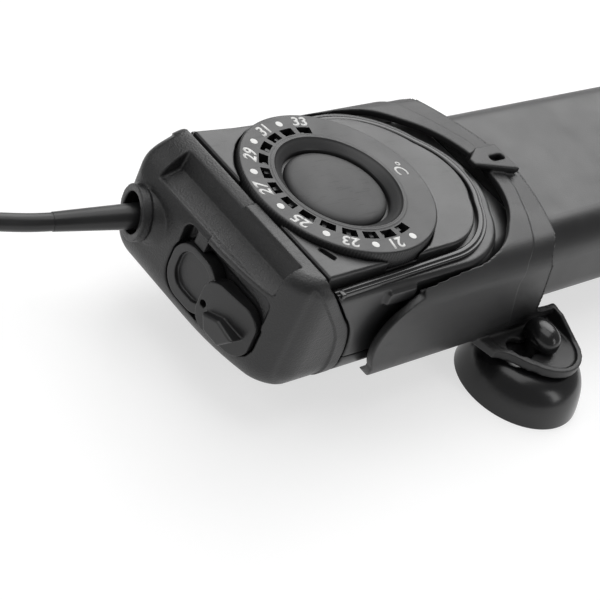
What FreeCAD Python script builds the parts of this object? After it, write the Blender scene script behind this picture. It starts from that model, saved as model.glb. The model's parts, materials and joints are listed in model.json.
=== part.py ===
import FreeCAD, Part
import math
import os
from FreeCAD import Placement, Rotation, Vector

# Submersible aquarium heater, millimetres.
# Every sub-part is drawn in the frame of the setting dial: z = 0 is the top
# of the dial, +X runs along the heater towards the closed tail, the cord
# leaves at -X.  Each sub-part's Placement then carries it to the row frame,
# whose origin is the bottom centre of the heater, on the plane that the two
# suction cups stand on.

doc = FreeCAD.newDocument("AquariumHeater")
sheet = doc.addObject("Spreadsheet::Sheet", "Dims")
sheet.Label = "Dims"

TABLE = [
    # row frame
    ("dial_x", -63.0, "dial axis in the row frame"),
    ("dial_z", 50.0, "dial top above the base plane"),
    # head casing
    ("head_half", 31.0, "half width of the head"),
    ("head_top", -6.2, "top face of the head casing"),
    ("head_bottom", -38.8, "underside of the head"),
    ("head_corner", 9.8, "lower corner radius"),
    ("head_back", 56.0, "rear end of the head casings"),
    ("seam_z", -28.6, "joint between the two casings"),
    ("wall", 2.2, "casing wall"),
    ("deck_top", -9.2, "top of the casing behind the arch"),
    ("part_x", -26.2, "cap joint on the top face"),
    ("part_low", -11.0, "cap joint on the side, low down"),
    ("joint_gap", 0.8, "visible gap at the cap joint"),
    # face plate and rail
    ("plate_top", -1.3, "top of the face plate at the cap joint"),
    ("plate_tail", -4.4, "top of the face plate at the end of its arch"),
    ("plate_front", 27.6, "half width of the plate at the cap"),
    ("plate_mid", 25.5, "half width where the arch starts"),
    ("plate_apex", 45.0, "apex of the arch"),
    ("rail_top", -4.8, "crown of the rail"),
    ("rail_step", -5.3, "outer step of the rail"),
    # dial
    ("dial_wall", 26.5, "dial outer radius"),
    ("dial_flat", 25.7, "radius of the flat top"),
    ("dial_lip", 17.3, "radius of the inner lip"),
    ("dish_edge", 14.4, "radius of the dome seat"),
    ("dial_low", -5.0, "bottom edge of the dial skirt"),
    ("seat_radius", 26.9, "radius of the seat in the plate"),
    ("seat_floor", -5.3, "floor of the seat"),
    ("window_in", 18.7, "inner radius of a dial window"),
    ("window_out", 21.0, "outer radius of a dial window"),
    ("window_width", 4.0, "width of a dial window"),
    ("window_pitch", 15.92, "angle from one degree mark to the next"),
    ("shaft_radius", 3.0, "dial shaft"),
    ("shaft_clear", 0.06, "running clearance of the shaft"),
    # end cap
    ("cap_end", -38.6, "crown of the cap's end face"),
    ("cap_shoulder", -35.75, "end face at the corners"),
    ("scoop_half", 22.3, "half width of the scoop"),
    ("scoop_edge", -30.6, "front lip of the scoop"),
    ("scoop_floor", -9.6, "floor of the scoop at the end face"),
    ("collar_x", -41.8, "centre of the collar's mouth"),
    ("collar_y", 22.8, "centre of the collar's mouth"),
    ("collar_z", -20.4, "centre of the collar's mouth"),
    ("collar_turn", 18.0, "collar axis from -X towards +Y, degrees"),
    ("collar_outer", 7.2, "collar lip radius"),
    ("collar_bore", 5.3, "collar bore radius"),
    ("pocket_floor", -34.6, "floor of the key pocket"),
    # heating section
    ("tube_half", 29.0, "half width of the heating section"),
    ("tube_top", -9.4, "top of the heating section"),
    ("tube_low", -38.0, "underside of the heating section"),
    ("tube_corner", 9.0, "corner radius of the heating section"),
    ("tube_start", 56.8, "front end of the heating section"),
    ("tube_end", 166.0, "rear end of the heating section"),
    ("tail_end", 170.0, "end of the tail plug"),
    # holder
    ("band_half", 35.0, "half width of the holder outside"),
    ("band_wall", 2.2, "holder wall"),
    ("band_top", -5.6, "crown of the holder"),
    ("band_low", -42.0, "underside of the holder"),
    ("band_back", 60.0, "rear edge of the holder at the side"),
    ("lug_top", -34.6, "top of the cup lugs"),
    ("lug_thick", 2.6, "thickness of the cup lugs"),
    ("cup_x", 59.2, "cup axis"),
    ("cup_y", 41.0, "cup axis from the middle"),
    ("cup_rim", 18.5, "cup rim radius"),
    ("neck_radius", 3.2, "cup neck"),
    # cord
    ("cord_radius", 2.3, "mains cord"),
    ("coil_mean", 25.0, "mean radius of the put-away coil"),
    ("coil_high", 13.8, "height of the put-away coil"),
]
VALUES = {}
for row, (alias, value, note) in enumerate(TABLE, start=1):
    sheet.set("A%d" % row, alias)
    sheet.set("B%d" % row, str(value))
    sheet.setAlias("B%d" % row, alias)
    sheet.set("C%d" % row, note)
    VALUES[alias] = float(value)
doc.recompute()


class Dim:
    """A number together with the sheet expression that drives it."""

    def __init__(self, value, text=None):
        self.v = float(value)
        self.t = text if text is not None else repr(float(value))

    def _pair(self, other):
        return other if isinstance(other, Dim) else Dim(other)

    def __add__(self, other):
        other = self._pair(other)
        return Dim(self.v + other.v, "(%s + %s)" % (self.t, other.t))

    __radd__ = __add__

    def __sub__(self, other):
        other = self._pair(other)
        return Dim(self.v - other.v, "(%s - %s)" % (self.t, other.t))

    def __rsub__(self, other):
        return self._pair(other) - self

    def __mul__(self, other):
        other = self._pair(other)
        return Dim(self.v * other.v, "(%s * %s)" % (self.t, other.t))

    __rmul__ = __mul__

    def __neg__(self):
        return Dim(-self.v, "(-1 * %s)" % self.t)

    @property
    def bound(self):
        return "Dims" in self.t


def d(alias):
    return Dim(VALUES[alias], "Dims.%s" % alias)


def dim(value):
    return value if isinstance(value, Dim) else Dim(value)


def origin_plane(body, role):
    for feature in body.Origin.OriginFeatures:
        if feature.Role == role:
            return feature
    raise RuntimeError("no plane " + role)


def place(obj, x=0.0, y=0.0, z=0.0, rotation=None):
    """Put a sub-part drawn in the dial's frame into the row frame."""
    x, y, z = dim(x) + d("dial_x"), dim(y), dim(z) + d("dial_z")
    obj.Placement = Placement(Vector(x.v, y.v, z.v), rotation or Rotation())
    obj.setExpression("Placement.Base.x", x.t)
    if y.bound:
        obj.setExpression("Placement.Base.y", y.t)
    obj.setExpression("Placement.Base.z", z.t)
    return obj


def new_body(label, x=0.0, y=0.0, z=0.0):
    body = doc.addObject("PartDesign::Body", label)
    body.Label = label
    place(body, x, y, z)
    return body


def arc_of(p, q, radius, ccw):
    """The minor arc from p to q; ccw says which way it turns."""
    mid = (p + q) * 0.5
    half = (q - p).Length * 0.5
    rise = math.sqrt(max(radius * radius - half * half, 0.0))
    along = (q - p).normalize()
    left = Vector(-along.y, along.x, 0)
    centre = mid + left * (rise if ccw else -rise)
    a = math.atan2(p.y - centre.y, p.x - centre.x)
    b = math.atan2(q.y - centre.y, q.x - centre.x)
    if not ccw:
        a, b = b, a
    if b < a:
        b += 2 * math.pi
    return Part.ArcOfCircle(Part.Circle(centre, Vector(0, 0, 1), radius), a, b)


def sketch_on(body, role, offset, name):
    sketch = body.newObject("Sketcher::SketchObject", name)
    sketch.AttachmentSupport = [(origin_plane(body, role), "")]
    sketch.MapMode = "FlatFace"
    offset = dim(offset)
    sketch.AttachmentOffset = Placement(Vector(0, 0, offset.v), Rotation())
    if offset.bound:
        sketch.setExpression("AttachmentOffset.Base.z", offset.t)
    return sketch


def drive(sketch, kind, geo, pos, value):
    import Sketcher
    value = dim(value)
    index = sketch.addConstraint(Sketcher.Constraint(kind, geo, pos, value.v))
    if value.bound:
        sketch.setExpression("Constraints[%d]" % index, value.t)


def draw(sketch, path):
    """path: ("circle", x, y, r) or a list of vertices (x, y) for straight
    sides and (x, y, radius, ccw) for an arc that arrives at the vertex."""
    import Sketcher
    if path[0] == "circle":
        x, y, r = dim(path[1]), dim(path[2]), dim(path[3])
        geo = sketch.addGeometry(Part.Circle(Vector(x.v, y.v, 0), Vector(0, 0, 1), r.v), False)
        index = sketch.addConstraint(Sketcher.Constraint("Radius", geo, r.v))
        if r.bound:
            sketch.setExpression("Constraints[%d]" % index, r.t)
        drive(sketch, "DistanceX", geo, 3, x)
        drive(sketch, "DistanceY", geo, 3, y)
        return
    count = len(path)
    verts = [(dim(v[0]), dim(v[1])) for v in path]
    ends = []
    for i in range(count):
        j = (i + 1) % count
        p = Vector(verts[i][0].v, verts[i][1].v, 0)
        q = Vector(verts[j][0].v, verts[j][1].v, 0)
        if len(path[j]) > 2:
            radius, ccw = dim(path[j][2]), path[j][3]
            geo = sketch.addGeometry(arc_of(p, q, radius.v, ccw), False)
            index = sketch.addConstraint(Sketcher.Constraint("Radius", geo, radius.v))
            if radius.bound:
                sketch.setExpression("Constraints[%d]" % index, radius.t)
            ends.append((geo, 1, 2) if ccw else (geo, 2, 1))
        else:
            geo = sketch.addGeometry(Part.LineSegment(p, q), False)
            ends.append((geo, 1, 2))
    for i in range(count):
        geo, start, _ = ends[i]
        prev, _, finish = ends[i - 1]
        sketch.addConstraint(Sketcher.Constraint("Coincident", prev, finish, geo, start))
        drive(sketch, "DistanceX", geo, start, verts[i][0])
        drive(sketch, "DistanceY", geo, start, verts[i][1])


COUNT = [0]


def tag(stem):
    COUNT[0] += 1
    return "%s%03d" % (stem, COUNT[0])


def add(body, role, paths, low, high):
    """Pad between two levels measured along the plane's normal."""
    low, high = dim(low), dim(high)
    sketch = sketch_on(body, role, low, tag("Profile"))
    for path in (paths if isinstance(paths, list) and isinstance(paths[0], list) else [paths]):
        draw(sketch, path)
    pad = body.newObject("PartDesign::Pad", tag("Pad"))
    pad.Profile = sketch
    length = high - low
    pad.Length = length.v
    if length.bound:
        pad.setExpression("Length", length.t)
    doc.recompute()
    return pad


def cut(body, role, paths, low, high):
    """Pocket between two levels measured along the plane's normal."""
    low, high = dim(low), dim(high)
    before = body.Shape.Volume
    sketch = sketch_on(body, role, low, tag("Profile"))
    for path in (paths if isinstance(paths, list) and isinstance(paths[0], list) else [paths]):
        draw(sketch, path)
    pocket = body.newObject("PartDesign::Pocket", tag("Pocket"))
    pocket.Profile = sketch
    pocket.Reversed = True
    length = high - low
    pocket.Length = length.v
    if length.bound:
        pocket.setExpression("Length", length.t)
    doc.recompute()
    if not body.Shape.Volume < before - 1e-6:
        print("NO CUT in", body.Label, pocket.Name)
    return pocket


def spin(body, path, kind="PartDesign::Revolution"):
    """Revolve a profile drawn on the XZ plane about the body's own Z axis."""
    before = body.Shape.Volume if kind.endswith("Groove") else 0.0
    sketch = sketch_on(body, "XZ_Plane", 0.0, tag("Profile"))
    draw(sketch, path)
    rev = body.newObject(kind, tag("Turn"))
    rev.Profile = sketch
    rev.ReferenceAxis = (sketch, ["V_Axis"])
    rev.Angle = 360.0
    doc.recompute()
    if kind.endswith("Groove") and not body.Shape.Volume < before - 1e-6:
        print("NO CUT in", body.Label, rev.Name)
    return rev


def fillet(body, radius, pick, kind="PartDesign::Fillet"):
    """Round the tip's edges that pick() accepts."""
    tip = body.Tip
    names = ["Edge%d" % (i + 1) for i, e in enumerate(tip.Shape.Edges) if pick(e)]
    if not names:
        print("NO EDGES for fillet in", body.Label)
        return None
    feature = body.newObject(kind, tag("Round"))
    feature.Base = (tip, names)
    radius = dim(radius)
    prop = "Radius" if kind.endswith("Fillet") else "Size"
    setattr(feature, prop, radius.v)
    if radius.bound:
        feature.setExpression(prop, radius.t)
    doc.recompute()
    if "Invalid" in feature.State or "Error" in feature.State or feature.Shape.isNull():
        print("FILLET FAILED in", body.Label, names)
        body.removeObject(feature)
        doc.removeObject(feature.Name)
        body.Tip = tip
        doc.recompute()
        return None
    return feature


def box_path(x0, y0, x1, y1):
    return [(x0, y0), (x1, y0), (x1, y1), (x0, y1)]


def round_box(x0, y0, x1, y1, r):
    x0, y0, x1, y1, r = dim(x0), dim(y0), dim(x1), dim(y1), dim(r)
    return [(x0 + r, y0), (x1 - r, y0), (x1, y0 + r, r, True), (x1, y1 - r),
            (x1 - r, y1, r, True), (x0 + r, y1), (x0, y1 - r, r, True), (x0, y0 + r),
            (x0 + r, y0, r, True)]


def round_box_vertices(path):
    # the first vertex of round_box is reached by its last arc
    first, last = path[0], path[-1]
    return [(first[0], first[1], last[2], last[3])] + path[1:-1]


def rbox(x0, y0, x1, y1, r):
    return round_box_vertices(round_box(x0, y0, x1, y1, r))


def at_z(value, tol=0.02):
    return lambda e: abs(e.BoundBox.ZMin - value) < tol and abs(e.BoundBox.ZMax - value) < tol


def at_x(value, tol=0.02):
    return lambda e: abs(e.BoundBox.XMin - value) < tol and abs(e.BoundBox.XMax - value) < tol


PARTS = []


def keep(obj):
    PARTS.append(obj)
    return obj


# --------------------------------------------------------------- outlines
hh = d("head_half")


def arch(front_x, front_half, mid_half, mid_x, hip_x, hip_half, apex, hip_r, crown_r):
    """Plan outline: tapered sides that close in an arch towards the tail."""
    return [(front_x, -front_half), (mid_x, -mid_half), (hip_x, -hip_half, hip_r, True),
            (apex, 0.0, crown_r, True), (hip_x, hip_half, crown_r, True),
            (mid_x, mid_half, hip_r, True), (front_x, front_half)]


pf, pm, pa = d("plate_front"), d("plate_mid"), d("plate_apex")
plate_outline = arch(d("part_x") + 0.3, pf, pm, 20.0, pa - 4.5, 11.7, pa, 24.7, 17.6)
rail_inner = arch(d("part_x") + 0.3, pf + 0.8, pm + 0.9, 20.0, pa - 3.3, 12.2, pa + 1.2, 25.6, 18.6)
rail_crown = arch(d("part_x") + 0.3, pf + 2.0, pm + 2.2, 20.0, pa - 2.2, 13.1, pa + 2.7, 26.8, 20.0)
rail_outer = arch(d("part_x") + 0.3, pf + 3.0, pm + 3.4, 20.0, pa - 1.2, 14.0, pa + 4.0, 28.0, 21.8)
head_outline = arch(-26.0, hh, hh, 23.0, 46.6, 15.6, 52.4, 27.0, 25.0)
head_inner = arch(-24.7, hh - 2.2, hh - 2.2, 22.0, 44.2, 14.6, 50.0, 25.6, 23.6)


def parting(shift):
    """Side view of the cap joint: sloping from the top edge, then turning
    down to run square across the lower half."""
    px, pl = d("part_x") + shift, d("part_low") + shift
    return px, pl


def u_path(outer, inner):
    """A band between two open arches, closed across its two ends."""
    back = []
    for i in range(len(inner) - 1, -1, -1):
        v = inner[i]
        after = inner[i + 1] if i + 1 < len(inner) else None
        if after is not None and len(after) > 2:
            back.append((v[0], v[1], after[2], not after[3]))
        else:
            back.append((v[0], v[1]))
    return outer + back


def joint_cut(body):
    """Take away what would run into the end cap at the sloping joint."""
    edge = d("part_x")
    return cut(body, "XZ_Plane",
               [(-60.0, 1.0), (edge, 1.0), (edge, -2.6), (edge + 9.2, -13.9), (-60.0, -13.9)], -40.0, 40.0)


# ------------------------------------------------------- head casings
upper = new_body("upper_housing")
add(upper, "XY_Plane", head_outline, d("seam_z"), d("head_top"))
fillet(upper, 1.6, at_z(d("head_top").v + 0))
deck = [(-hh + 0.6, d("seam_z")), (hh - 0.6, d("seam_z")), (hh - 0.6, d("deck_top") - 8.0),
        (hh - 8.6, d("deck_top"), 8.0, True), (-hh + 8.6, d("deck_top")),
        (-hh + 0.6, d("deck_top") - 8.0, 8.0, True)]
add(upper, "YZ_Plane", deck, 20.0, d("head_back"))
# inside
hollow = [(-hh + 2.8, d("seam_z") - 1.0), (hh - 2.8, d("seam_z") - 1.0), (hh - 2.8, d("deck_top") - 9.0),
          (hh - 9.8, d("deck_top") - 2.0, 7.0, True), (-hh + 9.8, d("deck_top") - 2.0),
          (-hh + 2.8, d("deck_top") - 9.0, 7.0, True)]
cut(upper, "YZ_Plane", hollow, -30.0, d("head_back") + 1.0)
# cap joint
px, pl = parting(0.0)
cut(upper, "XZ_Plane",
    [(-60.0, 0.0), (px, 0.0), (px, -2.6), (px + 9.2, -13.9), (pl, d("seam_z") + 0.6, 19.8, False),
     (pl, -45.0), (-60.0, -45.0)], -40.0, 40.0)
# shaft hole
cut(upper, "XY_Plane", ["circle", 0.0, 0.0, d("shaft_radius") + d("shaft_clear")], -13.0, -6.0)
# locating rib on both sides
for side in (-1, 1):
    rib = rbox(-6.0, -11.8, 3.8, -7.8, 1.0)
    if side < 0:
        add(upper, "XZ_Plane", rib, hh - 0.4, hh + 1.1)
    else:
        add(upper, "XZ_Plane", rib, -(hh + 1.1), -(hh - 0.4))
keep(upper)

lower = new_body("lower_housing")
sz = d("seam_z") - 0.15
hb, hc = d("head_bottom"), d("head_corner")
add(lower, "YZ_Plane",
    [(-hh, sz), (-hh, hb + hc), (-hh + hc, hb, hc, True), (hh - hc, hb), (hh, hb + hc, hc, True), (hh, sz)],
    d("part_low"), d("head_back"))
hw = d("wall")
cut(lower, "YZ_Plane",
    [(-hh + hw, sz + 1.0), (-hh + hw, hb + hc), (-hh + hc, hb + hw, hc - hw, True), (hh - hc, hb + hw),
     (hh - hw, hb + hc, hc - hw, True), (hh - hw, sz + 1.0)], -20.0, d("head_back") + 1.0)
for x, y in ((1.0, -21.0), (1.0, 21.0), (46.0, -21.0), (46.0, 21.0)):
    add(lower, "XY_Plane", ["circle", x, y, 2.6], hb + 1.0, -20.0)
keep(lower)

# --------------------------------------------------- heating section shell
th, tt, tl, tc = d("tube_half"), d("tube_top"), d("tube_low"), d("tube_corner")
tube = new_body("heating_tube")
add(tube, "YZ_Plane", [rbox(-th, tl, th, tt, tc), rbox(-th + 2.0, tl + 2.0, th - 2.0, tt - 2.0, tc - 2.0)],
    d("tube_start"), d("tube_end"))
keep(tube)

tube_seal = new_body("tube_seal")
add(tube_seal, "YZ_Plane",
    [rbox(-th + 0.6, tl + 0.6, th - 0.6, tt - 0.6, tc - 0.6), rbox(-th + 3.0, tl + 3.0, th - 3.0, tt - 3.0, tc - 3.0)],
    d("head_back"), d("tube_start"))
keep(tube_seal)

tail = new_body("tail_plug")
add(tail, "YZ_Plane", rbox(-th, tl, th, tt, tc), d("tube_end"), d("tail_end"))
fillet(tail, 2.6, at_x(d("tail_end").v))
add(tail, "YZ_Plane", rbox(-th + 2.1, tl + 2.1, th - 2.1, tt - 2.1, tc - 2.1), d("tube_end") - 7.0, d("tube_end"))
keep(tail)

# ------------------------------------------------------------- face plate
plate = new_body("face_plate")
add(plate, "XY_Plane", plate_outline, d("head_top"), d("plate_top"))
# the face falls gently from the joint towards the end of the arch
cut(plate, "XZ_Plane",
    [(d("part_x") + 0.2, 1.0), (d("part_x") + 0.2, d("plate_top")), (pa, d("plate_tail")), (pa + 6.0, d("plate_tail") - 0.26),
     (pa + 6.0, 1.0)], -40.0, 40.0)
fillet(plate, 0.7, lambda e: e.BoundBox.ZMin > d("head_top").v + 0.5 and e.BoundBox.ZMax - e.BoundBox.ZMin < 3.3)
cut(plate, "XY_Plane", ["circle", 0.0, 0.0, d("seat_radius")], d("seat_floor"), 0.0)
cut(plate, "XY_Plane", ["circle", 0.0, 0.0, d("shaft_radius") + 0.5], d("head_top") - 0.5, 0.0)
# index slot beside the dial
cut(plate, "XY_Plane", [(-21.95, -18.3), (-20.4, -17.7), (-18.75, -21.8), (-20.3, -22.4)], d("plate_top") - 1.8, 0.0)
joint_cut(plate)
keep(plate)

rail = new_body("rail_trim")
add(rail, "XY_Plane", u_path(rail_outer, rail_inner), d("head_top"), d("rail_step"))
add(rail, "XY_Plane", u_path(rail_crown, rail_inner), d("rail_step"), d("rail_top"))
joint_cut(rail)
keep(rail)

# ------------------------------------------------------------------- dial
dial = new_body("dial_ring")
dw, df, dl, de = d("dial_wall"), d("dial_flat"), d("dial_lip"), d("dish_edge")
spin(dial, [(3.6, -3.4), (24.9, -3.4), (24.9, d("dial_low")), (dw, d("dial_low")), (dw, -1.0), (df, 0.0),
            (dl + 1.0, 0.0), (dl + 0.7, 0.3), (dl, 0.3), (dl - 0.5, -0.1), (de, -1.9), (de, -2.4), (3.6, -2.4)])
first = math.radians(78.0)
wi, wo, ww = d("window_in"), d("window_out"), d("window_width")
slot = cut(dial, "XY_Plane", [(wi, -ww * 0.5), (wo, -ww * 0.5), (wo, ww * 0.5), (wi, ww * 0.5)], -4.0, 1.0)
slot_sketch = slot.Profile[0]
slot_sketch.AttachmentOffset = Placement(Vector(0, 0, -4.0), Rotation(Vector(0, 0, 1), 78.0))
doc.recompute()
pattern = dial.newObject("PartDesign::PolarPattern", "Windows")
pattern.Originals = [slot]
pattern.Axis = (slot_sketch, ["N_Axis"])
pattern.Angle = 13 * VALUES["window_pitch"]
pattern.setExpression("Angle", "13 * Dims.window_pitch")
pattern.Occurrences = 14
dial.Tip = pattern
doc.recompute()
keep(dial)

dome = new_body("dial_dome")
spin(dome, [(0.0, -2.4), (de - 0.25, -2.4), (de - 0.25, -1.9), (de - 0.7, -1.55), (de - 4.2, -1.17), (6.0, -0.92),
            (2.0, -0.76), (0.0, -0.76)])
keep(dome)

shaft = new_body("dial_shaft")
sr = d("shaft_radius")
add(shaft, "XY_Plane", ["circle", 0.0, 0.0, sr], -16.6, -3.4)
add(shaft, "XY_Plane", ["circle", 0.0, 0.0, 3.5], -3.4, -2.4)
cut(shaft, "XY_Plane", box_path(2.1, -4.0, 4.0, 4.0), -17.0, -12.4)
keep(shaft)

oring = doc.addObject("Part::Torus", "shaft_seal")
oring.Label = "shaft_seal"
oring.Radius1 = 4.1
oring.Radius2 = 0.95
oring.setExpression("Radius1", "Dims.shaft_radius + 1.1")
place(oring, 0.0, 0.0, Dim(-12.35))
keep(oring)

# ------------------------------------------------- electronics in the head
pot = new_body("potentiometer")
add(pot, "XY_Plane", rbox(-8.0, -8.0, 8.0, 8.0, 2.0), -18.4, -13.4)
cut(pot, "XY_Plane", ["circle", 0.0, 0.0, 5.2], -17.4, -13.0)
keep(pot)

wiper = new_body("potentiometer_wiper")
add(wiper, "XY_Plane", ["circle", 0.0, 0.0, 4.9], -16.9, -13.9)
cut(wiper, "XY_Plane", ["circle", 0.0, 0.0, sr + 0.02], -17.5, -13.5)
keep(wiper)

pcb = new_body("circuit_board")
add(pcb, "XY_Plane", box_path(-9.4, -24.0, 50.6, 24.0), -20.0, -18.4)
keep(pcb)


def prim_box(label, x0, y0, z0, x1, y1, z1):
    x0, y0, z0, x1, y1, z1 = [dim(v) for v in (x0, y0, z0, x1, y1, z1)]
    obj = doc.addObject("Part::Box", label)
    obj.Label = label
    for prop, size in (("Length", x1 - x0), ("Width", y1 - y0), ("Height", z1 - z0)):
        setattr(obj, prop, size.v)
        if size.bound:
            obj.setExpression(prop, size.t)
    place(obj, x0, y0, z0)
    return obj


def prim_rod(label, x0, y, z, length, radius, axis="X"):
    obj = doc.addObject("Part::Cylinder", label)
    obj.Label = label
    radius, length = dim(radius), dim(length)
    obj.Radius, obj.Height = radius.v, length.v
    if radius.bound:
        obj.setExpression("Radius", radius.t)
    if length.bound:
        obj.setExpression("Height", length.t)
    turn = Rotation(Vector(0, 1, 0), 90) if axis == "X" else Rotation()
    place(obj, x0, y, z, turn)
    return obj


def group(label, members):
    """Several loose solids of one node."""
    obj = doc.addObject("Part::Compound", label)
    obj.Label = label
    obj.Links = members
    doc.recompute()
    return obj


keep(prim_box("triac", 30.0, -16.0, -18.4, 40.0, -11.5, -12.6))
keep(prim_box("suppression_capacitor", 12.0, 10.5, -18.4, 30.0, 18.5, -12.6))
keep(prim_box("control_relay", 14.0, -20.0, -18.4, 28.0, -10.0, -12.2))
keep(prim_rod("fuse", 33.0, 14.0, -15.8, 14.0, 2.6))
keep(prim_box("terminal_block", -2.0, 10.0, -18.4, 8.0, 22.0, -12.6))
bulk = new_body("potting_bulkhead")
add(bulk, "YZ_Plane", rbox(-28.1, -36.4, 28.1, -11.3, 8.0), 50.6, 54.6)
keep(bulk)

# --------------------------------------------------- heating element stack
core_z = (tt + tl) * 0.5
keep(group("heat_spreaders", [
    prim_box("spreader_a", 59.6, -24.0, core_z + 3.6, 156.4, 24.0, core_z + 5.1),
    prim_box("spreader_b", 59.6, -24.0, core_z - 5.1, 156.4, 24.0, core_z - 3.6)]))
keep(group("mica_sheets", [
    prim_box("mica_a", 62.0, -22.0, core_z + 2.6, 154.0, 22.0, core_z + 3.6),
    prim_box("mica_b", 62.0, -22.0, core_z - 3.6, 154.0, 22.0, core_z - 2.6)]))
keep(prim_box("heating_element", 64.0, -20.0, core_z - 2.6, 152.0, 20.0, core_z + 2.6))
keep(prim_rod("thermal_cutout", 59.6, -14.0, core_z + 7.3, 12.0, 2.2))
keep(prim_rod("temperature_sensor", 59.6, 14.0, d("tube_top") - 3.8, 14.0, 1.8))
carrier = []
for name, x0 in (("carrier_front", 57.6), ("carrier_rear", 156.4)):
    plate_piece = new_body(name)
    add(plate_piece, "YZ_Plane", rbox(-26.9, tl + 2.1, 26.9, tt - 2.1, 6.9), x0, x0 + 2.0)
    carrier.append(plate_piece)
keep(group("element_carriers", carrier))

# -------------------------------------------------------------- end cap
cap_solid = new_body("cap_solid")
ce, cs = d("cap_end"), d("cap_shoulder")
add(cap_solid, "XY_Plane",
    [(0.0, -hh), (0.0, hh), (-33.6, hh), (ce, 26.0, 5.0, True), (ce, 0.0),
     (cs, -22.72, 92.0, True), (-25.09, -hh, 11.0, True)], d("head_bottom"), d("plate_top"))
front_only = lambda e: e.BoundBox.XMin < -1.0
for size in (9.6, 7.5, 4.8):
    if fillet(cap_solid, size, lambda e: at_z(d("head_bottom").v)(e) and front_only(e)):
        break
# the far shoulder falls away in a large curve towards the end face
fall = [(-25.9, d("plate_top")), (-38.7, -13.7, 14.0, True), (-50.0, -13.7), (-50.0, 2.0), (-25.9, 2.0)]
cut(cap_solid, "XZ_Plane", fall, -40.0, 0.0)
for size in (3.4, 2.6, 1.8, 1.0):
    if fillet(cap_solid, size, lambda e: e.BoundBox.ZMin > -13.0 and e.BoundBox.XMin < -1.0 and e.BoundBox.XMax > -38.5
              and min(e.BoundBox.YMin, e.BoundBox.YMax) > 22.0):
        print("far shoulder", size)
        break
for size in (4.2, 3.6, 2.8):
    if fillet(cap_solid, size, lambda e: at_z(d("plate_top").v)(e) and e.BoundBox.XMin < -1.0 and e.BoundBox.YMax < -20.0):
        print("near shoulder", size)
        break
# joint with the casings: the same curve, a gap in front of it
px, pl = parting(-d("joint_gap"))
cut(cap_solid, "XZ_Plane",
    [(px, 2.0), (px, -2.6), (px + 9.2, -13.9), (pl, d("seam_z") + 0.6, 19.8, False), (pl, -45.0), (5.0, -45.0),
     (5.0, 2.0)], -40.0, 40.0)
# scoop across the top
cut(cap_solid, "XZ_Plane",
    [(d("scoop_edge"), 2.0), (d("scoop_edge"), -2.8), (d("scoop_edge") - 0.9, -7.8), (-36.2, d("scoop_floor")),
     (-60.0, d("scoop_floor")), (-60.0, 2.0)], -d("scoop_half"), d("scoop_half"))
# inside
cut(cap_solid, "XY_Plane",
    [(2.0, -28.6), (2.0, 28.6), (-22.0, 28.6), (-31.4, 19.2, 9.4, True), (-31.4, -19.2), (-22.0, -28.6, 9.4, True)],
    -33.2, -11.8)
cut(cap_solid, "XY_Plane",
    [(2.0, -25.8), (2.0, 25.8), (-21.0, 25.8), (-29.0, 17.8, 8.0, True), (-29.0, -17.8), (-21.0, -25.8, 8.0, True)],
    -36.2, -33.0)
# pocket for the key
cut(cap_solid, "YZ_Plane", rbox(-23.0, -31.7, 9.1, -14.8, 6.6), -60.0, d("pocket_floor"))
# shallow trench above the key, with a small block near its end
cut(cap_solid, "YZ_Plane", rbox(-22.6, -20.0, 8.2, -11.2, 2.6), -60.0, d("pocket_floor") - 0.6)
add(cap_solid, "YZ_Plane", box_path(0.2, -14.9, 4.4, -11.0), -37.8, -34.4)
# the dial's seat runs a little way into the cap
cut(cap_solid, "XY_Plane", ["circle", 0.0, 0.0, d("seat_radius")], d("seat_floor"), 1.0)
doc.recompute()

turn = Rotation(Vector(0, 0, 1), 180.0 - VALUES["collar_turn"]).multiply(Rotation(Vector(0, 1, 0), 90.0))
axis = turn.multVec(Vector(0, 0, 1))


def on_axis(s):
    return (d("collar_x") + axis.x * s, d("collar_y") + axis.y * s, d("collar_z") + axis.z * s)


def collar_rod(label, s0, s1, radius):
    obj = doc.addObject("Part::Cylinder", label)
    radius = dim(radius)
    obj.Radius = radius.v
    if radius.bound:
        obj.setExpression("Radius", radius.t)
    obj.Height = s1 - s0
    place(obj, *on_axis(s0), rotation=turn)
    return obj


def collar_cone(label, s0, s1, r0, r1):
    obj = doc.addObject("Part::Cone", label)
    obj.Radius1, obj.Radius2, obj.Height = r0, r1, s1 - s0
    place(obj, *on_axis(s0), rotation=turn)
    return obj


collar = doc.addObject("Part::MultiFuse", "collar")
collar.Shapes = [cap_solid,
                 collar_cone("collar_foot", -8.0, -3.4, 9.6, VALUES["collar_outer"] - 0.4),
                 collar_rod("collar_barrel", -4.0, -2.2, d("collar_outer") - 0.5),
                 collar_rod("collar_bead", -2.6, -1.3, d("collar_outer")),
                 collar_rod("collar_neck", -1.5, -0.9, d("collar_outer") - 0.5),
                 collar_rod("collar_lip", -1.0, 0.0, d("collar_outer"))]
doc.recompute()
cap = doc.addObject("Part::Cut", "end_cap")
cap.Label = "end_cap"
cap.Base = collar
cap.Tool = collar_rod("collar_hole", -16.0, 2.0, d("collar_bore"))
doc.recompute()
keep(cap)

# ---------------------------------------------------------------- lock key
key = new_body("lock_key")
kf = d("pocket_floor") - 0.3


def crown_cut(body, proud):
    """Trim the key's front to the crown of the end face."""
    x0, x1 = ce - proud, d("cap_end") + 2.9 - proud
    cut(body, "XY_Plane",
        [(x0, 12.0), (x0, 0.0), (x1, -23.0, 92.66, True), (x1, -30.0), (-60.0, -30.0), (-60.0, 12.0)],
        -40.0, -5.0)


add(key, "YZ_Plane", rbox(-8.0, -31.0, 8.5, -15.3, 6.2), -42.0, kf)
crown_cut(key, 0.0)
cut(key, "YZ_Plane", rbox(-6.0, -28.2, 6.1, -16.9, 4.6), -44.0, kf - 2.5)
add(key, "YZ_Plane", rbox(-22.4, -31.2, -4.9, -16.6, 5.0), -42.0, kf)
crown_cut(key, 0.9)
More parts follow.
